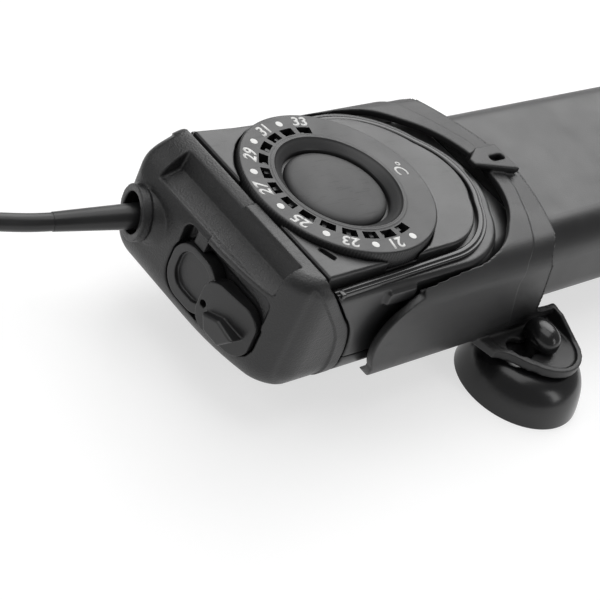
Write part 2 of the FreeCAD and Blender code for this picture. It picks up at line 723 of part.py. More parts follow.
# thumb ridge shaped like a small boat
add(key, "YZ_Plane", [(-8.7, -25.4), (-11.0, -29.2), (-16.6, -29.3), (-20.4, -24.5), (-14.0, -23.4)], -40.9, -36.6)
fillet(key, 0.7, at_x(-40.9))
cut(key, "YZ_Plane", ["circle", -6.7, -24.8, 1.0], -42.0, kf + 1.0)
keep(key)

# ------------------------------------------------------- cord entry pieces
droop = 0.14
relief_dir = Vector(axis.x, axis.y, -droop).normalize()
relief_turn = Rotation(Vector(0, 0, 1), relief_dir)
relief = doc.addObject("Part::Cone", "strain_relief")
relief.Label = "strain_relief"
relief.Radius1, relief.Radius2, relief.Height = 3.55, 2.45, 26.0
relief_root = (on_axis(-6.5)[0], on_axis(-6.5)[1], on_axis(-6.5)[2] - 0.4)
place(relief, *relief_root, rotation=relief_turn)
keep(relief)

grommet_ring = collar_rod("grommet_ring", -12.0, -7.2, d("collar_bore") - 0.02)
keep(grommet_ring)
grommet_ring.Label = "cord_grommet"

clamp_base = doc.addObject("Part::Box", "cord_clamp")
clamp_base.Label = "cord_clamp"
clamp_base.Length, clamp_base.Width, clamp_base.Height = 5.0, 13.0, 14.2
place(clamp_base, Dim(-28.6), Dim(11.0), Dim(-26.0))
keep(clamp_base)

wires = doc.addObject("Part::Compound", "supply_wires")
wires.Label = "supply_wires"
wires.Links = [prim_rod("wire_live", -23.6, 14.5, -16.6, 21.4, 0.9), prim_rod("wire_neutral", -23.6, 18.5, -16.6, 21.4, 0.9)]
doc.recompute()
keep(wires)
leads = doc.addObject("Part::Compound", "element_leads")
leads.Label = "element_leads"
leads.Links = [prim_rod("lead_live", 54.6, -6.0, core_z + 1.0, 3.0, 0.9), prim_rod("lead_neutral", 54.6, 6.0, core_z + 1.0, 3.0, 0.9)]
doc.recompute()
keep(leads)
screws = doc.addObject("Part::Compound", "board_screws")
screws.Label = "board_screws"
screw_list = []
for i, (sx, sy) in enumerate(((1.0, -21.0), (46.0, -21.0), (46.0, 21.0))):
    screw_list.append(prim_rod("screw_%d" % i, sx, sy, -18.35, 2.0, 2.4, "Z"))
screws.Links = screw_list
doc.recompute()
keep(screws)

# ------------------------------------------------------------------ holder
band = new_body("band_solid")
bh, bt, bl, bw = d("band_half"), d("band_top"), d("band_low"), d("band_wall")


def band_section(half, low, top, low_r, top_r):
    """Section of the holder: tighter corners above, rounder ones below."""
    return [(-half, top - top_r, top_r, True), (-half, low + low_r), (-half + low_r, low, low_r, True),
            (half - low_r, low), (half, low + low_r, low_r, True), (half, top - top_r),
            (half - top_r, top, top_r, True), (-half + top_r, top)]


add(band, "YZ_Plane", band_section(bh, bl, bt, 12.0, 7.5), -8.0, 72.0)
# inside follows the casings with a little air
cut(band, "YZ_Plane", band_section(bh - bw, bl + bw, bt - bw + 0.1, 9.8, 5.3), -9.0, 73.0)
cut(band, "XY_Plane", arch(-30.0, hh + 0.35, hh + 0.35, 23.0, 46.9, 15.8, 52.8, 27.3, 25.3), -33.0, 2.0)
# plan view: arched front edge on the crown, convex rear edge
front_cut = [(-20.0, -33.0), (5.4, -33.0), (26.4, -31.4), (31.6, -30.5, 14.0, True), (46.5, -22.1, 32.0, True),
             (58.0, 0.0, 28.6, True), (46.5, 22.1, 28.6, True), (31.6, 30.5, 32.0, True), (26.4, 31.4, 14.0, True),
             (5.4, 33.0), (-20.0, 33.0)]
cut(band, "XY_Plane", front_cut, -9.4, 2.0)
rear_cut = [(80.0, -50.0), (80.0, 50.0), (55.3, 50.0), (55.3, 34.6), (69.2, 0.0, 80.0, False),
            (55.3, -34.6, 80.0, False), (55.3, -50.0)]
cut(band, "XY_Plane", rear_cut, -9.4, 2.0)
# side view: rounded front edge that rises to a notch over the rib, raked
# rear edge that runs back along the cup lugs
side_cut = [(-25.0, 2.0), (5.4, 2.0), (5.4, -10.1), (-5.3, -21.8, 13.5, True), (-2.8, -31.2, 13.5, True),
            (13.0, -42.6, 17.0, True), (13.0, -46.0), (-25.0, -46.0)]
cut(band, "XZ_Plane", side_cut, -40.0, 40.0)
cut(band, "XY_Plane", box_path(-12.0, -29.0, 18.0, 29.0), -46.0, -34.0)
rear_side = [(80.0, -9.4), (55.4, -9.4), (57.4, -15.1), (59.7, -22.3), (61.2, -28.6), (64.4, -30.8, 4.2, True), (71.6, -31.6), (80.0, -31.6)]
cut(band, "XZ_Plane", rear_side, 20.0, 40.0)
cut(band, "XZ_Plane", rear_side, -40.0, -20.0)
cut(band, "YZ_Plane", box_path(-31.0, -50.0, 31.0, -20.0), 61.0, 90.0)
cut(band, "YZ_Plane", box_path(-50.0, -50.0, 50.0, -37.2), 38.6, 90.0)
doc.recompute()


def cup_lug(sign):
    """Ear with a keyhole: a wide opening by the band, a narrow seat outside."""
    s = -1.0 if sign < 0 else 1.0
    lug = new_body("lug_solid_near" if sign < 0 else "lug_solid_far")
    cy = d("cup_y") * s
    cx = d("cup_x")
    lt, lth = d("lug_top"), d("lug_thick")
    y_in = bh * s - 2.0 * s
    ax, ay = 60.4, 42.0 * s
    ccw = s < 0
    outline = [(40.5, y_in), (42.2, 39.6 * s), (48.2, 45.2 * s, 12.0, not ccw), (51.0, 48.3 * s, 9.0, ccw),
               (ax, 53.3 * s, 11.9, ccw), (ax + 11.3, ay, 11.3, ccw), (ax + 11.3, y_in)]
    add(lug, "XY_Plane", outline, lt - lth, lt)
    rim_in = [(44.6, y_in + 1.0 * s), (45.0, 39.2 * s), (50.6, 44.6 * s, 12.0, not ccw), (52.6, 46.9 * s, 7.0, ccw),
              (ax, 51.8 * s, 10.3, ccw), (ax + 9.7, ay, 9.8, ccw), (ax + 9.7, y_in + 1.0 * s)]
    cut(lug, "XY_Plane", rim_in, lt - 0.9, lt + 1.0)
    # keyhole: the knob drops through the wide end and slides to the seat
    cut(lug, "XY_Plane", ["circle", cx, cy, 3.35], lt - 5.0, lt + 1.0)
    cut(lug, "XY_Plane", ["circle", cx - 7.3, cy - 0.3 * s, 4.0], lt - 5.0, lt + 1.0)
    neck = [(cx, cy - 2.9), (cx, cy + 2.9), (cx - 7.0, cy + 2.9), (cx - 7.0, cy - 2.9)]
    cut(lug, "XY_Plane", neck, lt - 5.0, lt + 1.0)
    # gusset along the rear edge
    add(lug, "YZ_Plane", [(y_in, lt - 1.2), (y_in, -31.0), (37.5 * s, -31.4), (48.0 * s, lt - 1.2)],
        ax + 9.7, ax + 11.2)
    doc.recompute()
    return lug


tab_solid = new_body("tab_solid")
add(tab_solid, "XY_Plane", [(52.4, -1.2), (66.0, -6.4), (66.0, 4.6), (58.0, 4.6), (52.4, 1.0)], -5.0, -3.4)
cut(tab_solid, "XY_Plane", rbox(59.4, -1.6, 64.8, 0.6, 1.0), -6.0, -2.0)
tab_foot = prim_box("tab_foot", 56.0, 2.6, -7.4, 66.0, 4.6, -4.6)
tab_toe = prim_box("tab_toe", 58.2, -3.6, -7.4, 59.2, 4.0, -4.6)
lug_near, lug_far = cup_lug(-1), cup_lug(1)
doc.recompute()
holder = doc.addObject("Part::MultiFuse", "holder_sleeve")
holder.Label = "holder_sleeve"
holder.Shapes = [band, lug_near, lug_far, tab_solid, tab_foot, tab_toe]
doc.recompute()
keep(holder)

# ------------------------------------------------------------ suction cups
nr, cr = d("neck_radius"), d("cup_rim")
lt, lth = d("lug_top"), d("lug_thick")


def suction_cup(label, side):
    body = new_body(label, d("cup_x"), d("cup_y") * side, 0.0)
    spin(body, [(0.0, -44.2), (7.0, -44.6), (13.0, -46.4), (17.4, -50.0), (cr, -50.0), (cr - 0.3, -48.4),
                (cr - 1.9, -43.0), (cr - 7.2, -38.2, 6.6, True), (nr + 1.8, -37.6), (nr, -37.6), (nr, lt + 0.1),
                (0.0, lt + 0.1)])
    # the knob is longer across the holder than along it
    add(body, "XY_Plane", rbox(-4.3, -5.6, 4.3, 5.6, 4.2), lt + 0.1, lt + 5.8)
    fillet(body, 3.0, at_z((lt + 5.8).v))
    return body


keep(suction_cup("suction_cup_near", -1.0))
keep(suction_cup("suction_cup_far", 1.0))

# -------------------------------------------------------------------- cord
# The lead leaves the collar, sinks to the base plane and is wound into a
# flat coil; its plug lies beside the coil.
shift = Vector(VALUES["dial_x"], 0.0, VALUES["dial_z"])
cord_r = float(sheet.get("cord_radius"))
start = Vector(*[dim(v).v for v in relief_root]) + relief_dir * 26.0
ROUTE = [start,
         start + relief_dir * 5.0,
         start + relief_dir * 5.0 + axis * 12.0,
         Vector(-90.0, 38.0, -26.4),
         Vector(-103.0, 41.6, -34.0),
         Vector(-115.0, 44.8, -42.6),
         Vector(-126.0, 48.6, -47.0),
         Vector(-139.6, 53.4, -47.7)]


def rounded_wire(points):
    """Straight runs joined by tangent arcs as large as the runs allow."""
    edges, last, radii, length = [], points[0], [], 0.0
    for i in range(1, len(points) - 1):
        a, b, c = points[i - 1], points[i], points[i + 1]
        u, v = (a - b), (c - b)
        run = min(u.Length, v.Length)
        u.normalize()
        v.normalize()
        turn_angle = math.pi - u.getAngle(v)
        radius = 0.45 * run / math.tan(turn_angle / 2)
        reach = 0.45 * run
        p, q = b + u * reach, b + v * reach
        centre = b + (u + v).normalize() * (radius / math.cos(turn_angle / 2))
        middle = centre + (b - centre).normalize() * radius
        edges.append(Part.LineSegment(last, p).toShape())
        edges.append(Part.Arc(p, middle, q).toShape())
        radii.append(radius)
        last = q
    edges.append(Part.LineSegment(last, points[-1]).toShape())
    wire = Part.Wire(edges)
    return wire, radii


wire, radii = rounded_wire(ROUTE)
ring = Part.Wire([Part.Circle(ROUTE[0], ROUTE[1] - ROUTE[0], cord_r).toShape()])
tube_shape = wire.makePipeShell([ring], True, False)
if tube_shape.Volume < 0:
    tube_shape.reverse()
print("cord arc radii", [round(r, 1) for r in radii], "volume", round(tube_shape.Volume, 1),
      "section x length", round(math.pi * cord_r ** 2 * wire.Length, 1), "length", round(wire.Length, 1))
lead = doc.addObject("Part::Feature", "cord_lead")
lead.Label = "cord_lead"
lead.Shape = tube_shape
place(lead)
keep(lead)

coil_x, coil_y = -131.2, 82.8
cm, chh = d("coil_mean"), d("coil_high")
coil = new_body("cord_coil", coil_x, coil_y, 0.0)
add(coil, "XY_Plane", [["circle", 0.0, 0.0, cm + 3 * d("cord_radius")], ["circle", 0.0, 0.0, cm - 3 * d("cord_radius")]],
    -50.0, -50.0 + chh)
fillet(coil, 1.8, lambda e: True)
keep(coil)

# plug: two round pins on a flat tapered body, lying beside the coil
plug = new_body("plug_body", coil_x + 2.0, coil_y + 31.4, 0.0)
add(plug, "XY_Plane", [(30.0, -8.0), (46.0, -7.2), (64.0, -11.4), (64.0, 11.4), (46.0, 7.2), (30.0, 8.0)], -49.7, -36.3)
fillet(plug, 2.2, lambda e: e.BoundBox.XMax < 63.9 or e.BoundBox.XMin < 50.0)
keep(plug)
plug_sleeve = doc.addObject("Part::Cone", "plug_relief")
plug_sleeve.Label = "plug_relief"
plug_sleeve.Radius1, plug_sleeve.Radius2, plug_sleeve.Height = 2.7, 4.4, 18.0
place(plug_sleeve, coil_x + 14.0, coil_y + 31.4, -45.4, Rotation(Vector(0, 1, 0), 90))
keep(plug_sleeve)
pins = doc.addObject("Part::Compound", "plug_pins")
pins.Label = "plug_pins"
pins.Links = [prim_rod("pin_a", coil_x + 66.0, coil_y + 31.4 - 9.0, -43.0, 19.0, 2.0),
              prim_rod("pin_b", coil_x + 66.0, coil_y + 31.4 + 9.0, -43.0, 19.0, 2.0)]
doc.recompute()
keep(pins)

# ------------------------------------------------------------------ output
doc.recompute()
bad = []
for obj in doc.Objects:
    if "Invalid" in obj.State or "Error" in obj.State:
        bad.append("%s %s" % (obj.Name, obj.State))
for obj in PARTS:
    shape = obj.Shape
    if shape.isNull() or not shape.isValid() or not shape.Solids:
        bad.append("shape of %s" % obj.Label)
if bad:
    for line in bad:
        print("BAD", line)
    raise RuntimeError("model has failed features")
os.makedirs("parts", exist_ok=True)
for name in os.listdir("parts"):
    if name.endswith(".step"):
        os.remove(os.path.join("parts", name))
for obj in PARTS:
    obj.Shape.exportStep(os.path.join("parts", obj.Label + ".step"))
total = None
for obj in PARTS:
    b = obj.Shape.BoundBox
    print("%-22s solids %d vol %9.1f  x %7.2f %7.2f  y %7.2f %7.2f  z %6.2f %6.2f" % (
        obj.Label, len(obj.Shape.Solids), obj.Shape.Volume, b.XMin, b.XMax, b.YMin, b.YMax, b.ZMin, b.ZMax))
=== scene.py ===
import json
import math

import bmesh
import bpy
import numpy as np
from mathutils import Matrix, Vector


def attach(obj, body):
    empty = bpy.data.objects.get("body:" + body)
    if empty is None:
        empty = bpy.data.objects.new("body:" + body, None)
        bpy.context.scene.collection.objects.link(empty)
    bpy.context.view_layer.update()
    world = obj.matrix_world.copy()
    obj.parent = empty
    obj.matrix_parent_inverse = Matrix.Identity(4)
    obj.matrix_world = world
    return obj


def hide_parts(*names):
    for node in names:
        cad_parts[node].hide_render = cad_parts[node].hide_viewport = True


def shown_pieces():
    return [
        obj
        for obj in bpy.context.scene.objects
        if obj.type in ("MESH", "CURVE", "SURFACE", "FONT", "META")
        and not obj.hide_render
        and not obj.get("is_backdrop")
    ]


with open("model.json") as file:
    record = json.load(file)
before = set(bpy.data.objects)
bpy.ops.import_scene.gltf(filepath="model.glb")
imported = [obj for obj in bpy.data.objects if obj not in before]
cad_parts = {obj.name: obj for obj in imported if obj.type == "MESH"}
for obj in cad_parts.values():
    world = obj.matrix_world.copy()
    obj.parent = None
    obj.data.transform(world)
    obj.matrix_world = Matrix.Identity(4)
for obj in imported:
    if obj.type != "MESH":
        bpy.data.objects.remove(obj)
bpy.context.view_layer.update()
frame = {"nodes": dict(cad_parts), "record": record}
NODES = frame["nodes"]
scene = bpy.context.scene
view_layer = bpy.context.view_layer

# Positions below are written in the dial's frame, in millimetres: the origin
# is the centre of the dial's top face.  D() carries them to the row frame.
DIAL = Vector((-0.063, 0.0, 0.050))


def D(x, y, z):
    return DIAL + Vector((x, y, z)) * 0.001


def link(obj):
    scene.collection.objects.link(obj)
    return obj


def pick_slot(obj):
    return obj


# ------------------------------------------------------------------ camera
cam_data = bpy.data.cameras.new("camera")
cam_data.sensor_width = 36.0
cam_data.lens = 104.3
cam_data.clip_start = 0.01
cam_data.clip_end = 50.0
cam = link(bpy.data.objects.new("camera", cam_data))
RIGHT = Vector((0.720, -0.599, 0.351)).normalized()
DOWN = Vector((-0.199, -0.662, -0.723))
FORWARD = Vector((0.665, 0.451, -0.596)).normalized()
UP = (-(DOWN - FORWARD * DOWN.dot(FORWARD))).normalized()
RIGHT = FORWARD.cross(UP).normalized()
place = DIAL + Vector((-298.0, -207.0, 231.0)) * 0.001
cam.matrix_world = Matrix((
    (RIGHT.x, UP.x, -FORWARD.x, place.x),
    (RIGHT.y, UP.y, -FORWARD.y, place.y),
    (RIGHT.z, UP.z, -FORWARD.z, place.z),
    (0, 0, 0, 1)))
scene.camera = cam

# ------------------------------------------------------------------- cord
CORD_R = 0.0023
axis_a = math.radians(18.0)
collar_axis = Vector((-math.cos(axis_a), math.sin(axis_a), 0.0))
collar = Vector((-41.8, 22.8, -20.4))
relief_dir = Vector((collar_axis.x, collar_axis.y, -0.14)).normalized()
relief_root = collar - collar_axis * 6.5 + Vector((0.0, 0.0, -0.4))
start = relief_root + relief_dir * 26.0
route = [start, start + relief_dir * 5.0, start + relief_dir * 5.0 + collar_axis * 12.0,
         Vector((-90.0, 38.0, -26.4)), Vector((-103.0, 41.6, -34.0)), Vector((-115.0, 44.8, -42.6)),
         Vector((-126.0, 48.6, -47.0)), Vector((-139.6, 53.4, -47.7))]
coil_c = Vector((-131.2, 82.8, 0.0))
# nine turns lie in three columns of three; each leaves its place a little
# earlier than the one before it, so that none passes through another
CELLS = [(29.6, 0), (25.0, 0), (20.4, 0), (20.4, 1), (20.4, 2), (25.0, 2), (25.0, 1), (29.6, 1), (29.6, 2)]
TURN = 3000.0
N = int(TURN / 22.5)
first_angle = math.degrees(math.atan2(route[-1].y - coil_c.y, route[-1].x - coil_c.x)) - 14.0


def cell_at(t):
    k = 0
    while k < 8 and t > 330.0 + 340.0 * k + 14.0:
        k += 1
    r, z = CELLS[k]
    if k < 8:
        t0 = 330.0 + 340.0 * k - 14.0
        if t > t0:
            w = (t - t0) / 28.0
            w = w * w * (3 - 2 * w)
            r = r * (1 - w) + CELLS[k + 1][0] * w
            z = z * (1 - w) + CELLS[k + 1][1] * w
    return r, z


for i in range(N + 1):
    t = TURN * i / N
    r, z = cell_at(t)
    a = math.radians(first_angle - t)
    r = r / 0.981
    route.append(Vector((coil_c.x + r * math.cos(a), coil_c.y + r * math.sin(a), -47.7 + z * 4.6)))
route += [Vector((-141.6, 113.2, -38.6)), Vector((-136.6, 116.2, -39.6)), Vector((-131.4, 117.8, -41.6)),
          Vector((-126.2, 117.4, -43.9)), Vector((-121.4, 115.4, -45.2)), Vector((-117.2, 114.2, -45.4)),
          Vector((-112.6, 114.2, -45.4))]
curve = bpy.data.curves.new("mains_cord", "CURVE")
curve.dimensions = "3D"
curve.resolution_u = 10
curve.bevel_mode = "ROUND"
curve.bevel_depth = 1.0
curve.bevel_resolution = 8
curve.use_fill_caps = True
spline = curve.splines.new("NURBS")
spline.points.add(len(route) - 1)
for point, p in zip(spline.points, route):
    q = D(*p)
    point.co = (q.x, q.y, q.z, 1.0)
    point.radius = CORD_R
spline.order_u = 3
spline.use_endpoint_u = True
cord = link(bpy.data.objects.new("mains_cord", curve))
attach(cord, "heater")
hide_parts("cord_lead", "cord_coil")
pick_slot(cord)


# -------------------------------------------------------------- materials
def node_tree(name):
    mat = bpy.data.materials.new(name)
    mat.use_nodes = True
    nt = mat.node_tree
    nt.nodes.clear()
    out = nt.nodes.new("ShaderNodeOutputMaterial")
    bsdf = nt.nodes.new("ShaderNodeBsdfPrincipled")
    nt.links.new(bsdf.outputs[0], out.inputs[0])
    return mat, nt, bsdf


def ramp(nt, src, stops):
    r = nt.nodes.new("ShaderNodeValToRGB")
    nt.links.new(src, r.inputs[0])
    while len(r.color_ramp.elements) < len(stops):
        r.color_ramp.elements.new(0.5)
    for e, (pos, col) in zip(r.color_ramp.elements, stops):
        e.position = pos
        e.color = (*col, 1.0) if len(col) == 3 else col
    return r


def moulded(name, colour, rough=0.45, grain=0.00028, depth=0.00002, vary=0.25, spread_r=0.10, specular=0.5,
            metallic=0.0, coat=0.0, coat_rough=0.2, large=0.012, streak=None, scratch=0.0, wear=0.0):
    """Moulded plastic, rubber or metal: an even grain, slow changes of tone
    and gloss, and a few fine scuffs."""
    mat, nt, bsdf = node_tree(name)
    coords = nt.nodes.new("ShaderNodeTexCoord")
    src = coords.outputs["Object"]
    if streak:
        mp = nt.nodes.new("ShaderNodeMapping")
        mp.inputs["Scale"].default_value = streak
        nt.links.new(src, mp.inputs[0])
        src_b = mp.outputs[0]
    else:
        src_b = src
    slow = nt.nodes.new("ShaderNodeTexNoise")
    slow.inputs["Scale"].default_value = 1.0 / large
    slow.inputs["Detail"].default_value = 4.0
    nt.links.new(src, slow.inputs["Vector"])
    fine = nt.nodes.new("ShaderNodeTexNoise")
    fine.inputs["Scale"].default_value = 1.0 / grain
    fine.inputs["Detail"].default_value = 2.5
    fine.inputs["Roughness"].default_value = 0.55
    nt.links.new(src_b, fine.inputs["Vector"])
    lo = tuple(max(c * (1 - vary), 0.0) for c in colour)
    hi = tuple(c * (1 + vary) for c in colour)
    tone = ramp(nt, slow.outputs[0], [(0.3, lo), (0.7, hi)])
    colour_out = tone.outputs[0]
    if wear > 0.0:
        geo = nt.nodes.new("ShaderNodeNewGeometry")
        edge = ramp(nt, geo.outputs["Pointiness"], [(0.50, (0, 0, 0)), (0.60, (wear, wear, wear))])
        mix = nt.nodes.new("ShaderNodeMix")
        mix.data_type = "RGBA"
        nt.links.new(edge.outputs[0], mix.inputs[0])
        nt.links.new(colour_out, mix.inputs[6])
        mix.inputs[7].default_value = (*[min(c * 3.0 + 0.02, 1.0) for c in colour], 1.0)
        colour_out = mix.outputs[2]
    nt.links.new(colour_out, bsdf.inputs["Base Color"])
    gloss = ramp(nt, slow.outputs[0], [(0.25, (max(rough - spread_r, 0.03),) * 3), (0.75, (min(rough + spread_r, 1.0),) * 3)])
    rough_out = gloss.outputs[0]
    if scratch > 0.0:
        mp = nt.nodes.new("ShaderNodeMapping")
        mp.inputs["Scale"].default_value = (1.0, 14.0, 9.0)
        mp.inputs["Rotation"].default_value = (0.4, 0.2, 0.7)
        nt.links.new(src, mp.inputs[0])
        sc = nt.nodes.new("ShaderNodeTexNoise")
        sc.inputs["Scale"].default_value = 160.0
        sc.inputs["Detail"].default_value = 6.0
        nt.links.new(mp.outputs[0], sc.inputs["Vector"])
        mask = ramp(nt, sc.outputs[0], [(0.60, (0, 0, 0)), (0.66, (scratch,) * 3)])
        add = nt.nodes.new("ShaderNodeMath")
        add.operation = "ADD"
        add.use_clamp = True
        nt.links.new(rough_out, add.inputs[0])
        nt.links.new(mask.outputs[0], add.inputs[1])
        rough_out = add.outputs[0]
    nt.links.new(rough_out, bsdf.inputs["Roughness"])
    bump = nt.nodes.new("ShaderNodeBump")
    bump.inputs["Strength"].default_value = 1.0
    bump.inputs["Distance"].default_value = depth
    nt.links.new(fine.outputs[0], bump.inputs["Height"])
    nt.links.new(bump.outputs[0], bsdf.inputs["Normal"])
    bsdf.inputs["Metallic"].default_value = metallic
    bsdf.inputs["Specular IOR Level"].default_value = specular
    bsdf.inputs["Coat Weight"].default_value = coat
    bsdf.inputs["Coat Roughness"].default_value = coat_rough
    return mat


BLACK = (0.0105, 0.0105, 0.011)
M = {
    "cap": moulded("cap_plastic", (0.012, 0.012, 0.0125), 0.40, 0.00048, 0.00013, 0.25, 0.06, scratch=0.05),
    "casing": moulded("casing_plastic", BLACK, 0.34, 0.00035, 0.00002, 0.25, 0.06),
    "plate": moulded("plate_plastic", (0.013, 0.013, 0.0135), 0.36, 0.0003, 0.000018, 0.2, 0.05, scratch=0.06),
    "trim": moulded("trim_plastic", (0.009, 0.009, 0.0095), 0.22, 0.0006, 0.000008, 0.2, 0.05),
    "dial": moulded("dial_plastic", (0.010, 0.010, 0.0105), 0.42, 0.00022, 0.000012, 0.2, 0.05, scratch=0.05),
    "dome": moulded("dome_plastic", (0.014, 0.014, 0.0145), 0.52, 0.00024, 0.00002, 0.2, 0.06, scratch=0.08),
    "shaft": moulded("shaft_acetal", (0.62, 0.60, 0.55), 0.35, 0.0005, 0.00001),
    "seal": moulded("seal_rubber", (0.012, 0.012, 0.012), 0.5, 0.0002, 0.00002),
    "pot": moulded("pot_plastic", (0.03, 0.07, 0.22), 0.4, 0.0003, 0.00001),
    "wiper": moulded("wiper_acetal", (0.66, 0.64, 0.58), 0.35, 0.0004, 0.00001),
    "board": moulded("board_laminate", (0.015, 0.11, 0.035), 0.3, 0.0012, 0.00003, 0.35),
    "component": moulded("component_epoxy", (0.015, 0.015, 0.015), 0.5, 0.0003, 0.00002),
    "capacitor": moulded("capacitor_epoxy", (0.42, 0.22, 0.03), 0.35, 0.0006, 0.00002),
    "fuse": moulded("fuse_glass", (0.75, 0.78, 0.78), 0.08, 0.0006, 0.000005, 0.1),
    "terminal": moulded("terminal_plastic", (0.45, 0.45, 0.43), 0.45, 0.0004, 0.00002),
    "potting": moulded("potting_resin", (0.03, 0.03, 0.034), 0.25, 0.004, 0.0001),
    "spreader": moulded("spreader_metal", (0.68, 0.68, 0.69), 0.35, 0.0003, 0.00002, 0.1, metallic=1.0, streak=(0.1, 1, 1)),
    "mica": moulded("mica_sheet", (0.42, 0.34, 0.20), 0.3, 0.0015, 0.00006, 0.4),
    "element": moulded("element_ceramic", (0.46, 0.43, 0.38), 0.7, 0.0008, 0.00006, 0.25),
    "cutout": moulded("cutout_steel", (0.55, 0.55, 0.54), 0.3, 0.0003, 0.00001, 0.1, metallic=1.0),
    "sensor": moulded("sensor_epoxy", (0.02, 0.02, 0.02), 0.3, 0.0006, 0.00002),
    "carrier": moulded("carrier_plastic", (0.55, 0.52, 0.45), 0.5, 0.0005, 0.00003),
    "tube": moulded("tube_plastic", (0.0085, 0.0085, 0.009), 0.40, 0.0005, 0.00003, 0.2, 0.05),
    "key": moulded("key_plastic", (0.012, 0.012, 0.0125), 0.36, 0.0004, 0.00003, 0.25, 0.06),
    "relief": moulded("relief_rubber", (0.009, 0.009, 0.0095), 0.34, 0.0005, 0.00001, 0.2, 0.05),
    "wire": moulded("wire_pvc", (0.03, 0.06, 0.35), 0.35, 0.0006, 0.00001),
    "lead": moulded("lead_metal", (0.62, 0.42, 0.20), 0.3, 0.0003, 0.00001, 0.1, metallic=1.0),
    "screw": moulded("screw_steel", (0.56, 0.56, 0.57), 0.3, 0.0003, 0.00001, 0.1, metallic=1.0),
    "holder": moulded("holder_plastic", (0.0105, 0.0105, 0.011), 0.44, 0.00034, 0.00007, 0.25, 0.05, scratch=0.05),
    "cup": moulded("cup_rubber", (0.006, 0.006, 0.0065), 0.24, 0.0012, 0.00001, 0.2, 0.05),
    "cord": moulded("cord_pvc", (0.010, 0.010, 0.0105), 0.36, 0.0006, 0.000012, 0.2, 0.06),
    "plug": moulded("plug_pvc", (0.013, 0.013, 0.0135), 0.42, 0.0004, 0.00002, 0.2, 0.06),
    "print_white": moulded("dial_print", (0.68, 0.68, 0.67), 0.5, 0.0003, 0.00001, 0.05, 0.05),
    "pin": moulded("pin_nickel", (0.66, 0.64, 0.60), 0.22, 0.0004, 0.000005, 0.08, metallic=1.0),
}
SLOT_OF = {s["node"]: s["material_slot"] for s in frame["record"]["subparts"]}


def paint(obj, mat):
    obj.data.materials.clear()
    obj.data.materials.append(mat)


for name, obj in NODES.items():
    paint(obj, M[SLOT_OF[name]])
paint(cord, M["cord"])


# ----------------------------------------------------- reworked CAD shapes
def remould(node, body, voxel, smooth, slot=None, name=None):
    """Rebuild a CAD node's surface as an even skin and let its edges run
    round, as a moulding's edges are."""
    src = NODES[node]
    obj = link(bpy.data.objects.new(name or node + "_moulding", src.data.copy()))
    weld = obj.modifiers.new("weld", "WELD")
    weld.merge_threshold = 1e-6
    mod = obj.modifiers.new("skin", "REMESH")
    mod.mode = "VOXEL"
    mod.voxel_size = voxel
    mod.use_smooth_shade = True
    if smooth:
        sm = obj.modifiers.new("soften", "SMOOTH")
        sm.factor = 0.5
        sm.iterations = smooth
    bake(obj)
    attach(obj, body)
    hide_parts(node)
    slot = slot or SLOT_OF[node]
    paint(obj, M[slot])
    return obj


def bake(obj):
    view_layer.update()
    dg = bpy.context.evaluated_depsgraph_get()
    mesh = bpy.data.meshes.new_from_object(obj.evaluated_get(dg))
    obj.modifiers.clear()
    old = obj.data
    obj.data = mesh
    bpy.data.meshes.remove(old)
    for p in mesh.polygons:
        p.use_smooth = True


def mesh_obj(name, verts, faces, body, slot, gone=(), sharp=32.0, shift=None):
    """A mesh drawn in the dial's frame, in millimetres."""
    off = shift or (0.0, 0.0, 0.0)
    mesh = bpy.data.meshes.new(name)
    mesh.from_pydata([tuple(D(v[0] + off[0], v[1] + off[1], v[2] + off[2])) for v in verts], [], faces)
    mesh.update()
    bm = bmesh.new()
    bm.from_mesh(mesh)
    bmesh.ops.remove_doubles(bm, verts=bm.verts, dist=1e-7)
    bmesh.ops.recalc_face_normals(bm, faces=bm.faces)
    bm.to_mesh(mesh)
    bm.free()
    for poly in mesh.polygons:
        poly.use_smooth = True
    if sharp and hasattr(mesh, "set_sharp_from_angle"):
        mesh.set_sharp_from_angle(angle=math.radians(sharp))
    obj = link(bpy.data.objects.new(name, mesh))
    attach(obj, body)
    if gone:
        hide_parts(*gone)
    paint(obj, M[slot])
    return obj


def curved(points, steps=5):
    """Catmull-Rom curve through a list of points."""
    pts = [np.array(p, float) for p in points]
    out = []
    for i in range(len(pts) - 1):
        p0, p1, p2, p3 = pts[max(i - 1, 0)], pts[i], pts[i + 1], pts[min(i + 2, len(pts) - 1)]
        for k in range(steps):
            t = k / steps
            out.append(tuple(0.5 * ((2 * p1) + (p2 - p0) * t + (2 * p0 - 5 * p1 + 4 * p2 - p3) * t * t
                                    + (3 * p1 - p0 - 3 * p2 + p3) * t ** 3)))
    out.append(tuple(pts[-1]))
    return out


def lathe(profile, segs):
    """Turn a profile of (r, z) pairs; it is closed on the axis or on itself."""
    verts, faces = [], []
    n = len(profile)
    for j in range(segs):
        a = 2 * math.pi * j / segs
        for r, z in profile:
            verts.append((r * math.cos(a), r * math.sin(a), z))
    closed = profile[0][0] > 1e-6
    for j in range(segs):
        k = (j + 1) % segs
        for i in range(n if closed else n - 1):
            m = (i + 1) % n
            quad = [j * n + i, j * n + m, k * n + m, k * n + i]
            if profile[i][0] < 1e-6:
                quad = [j * n + i, j * n + m, k * n + m]
            elif profile[m][0] < 1e-6:
                quad = [j * n + i, j * n + m, k * n + i]
            faces.append(quad)
    return verts, faces


def clean(obj):
    bm = bmesh.new()
    bm.from_mesh(obj.data)
    bmesh.ops.remove_doubles(bm, verts=bm.verts, dist=2e-7)
    bm.to_mesh(obj.data)
    bm.free()


def soft(v, lo, hi):
    t = np.clip((v - lo) / (hi - lo), 0.0, 1.0)
    return t * t * (3 - 2 * t)


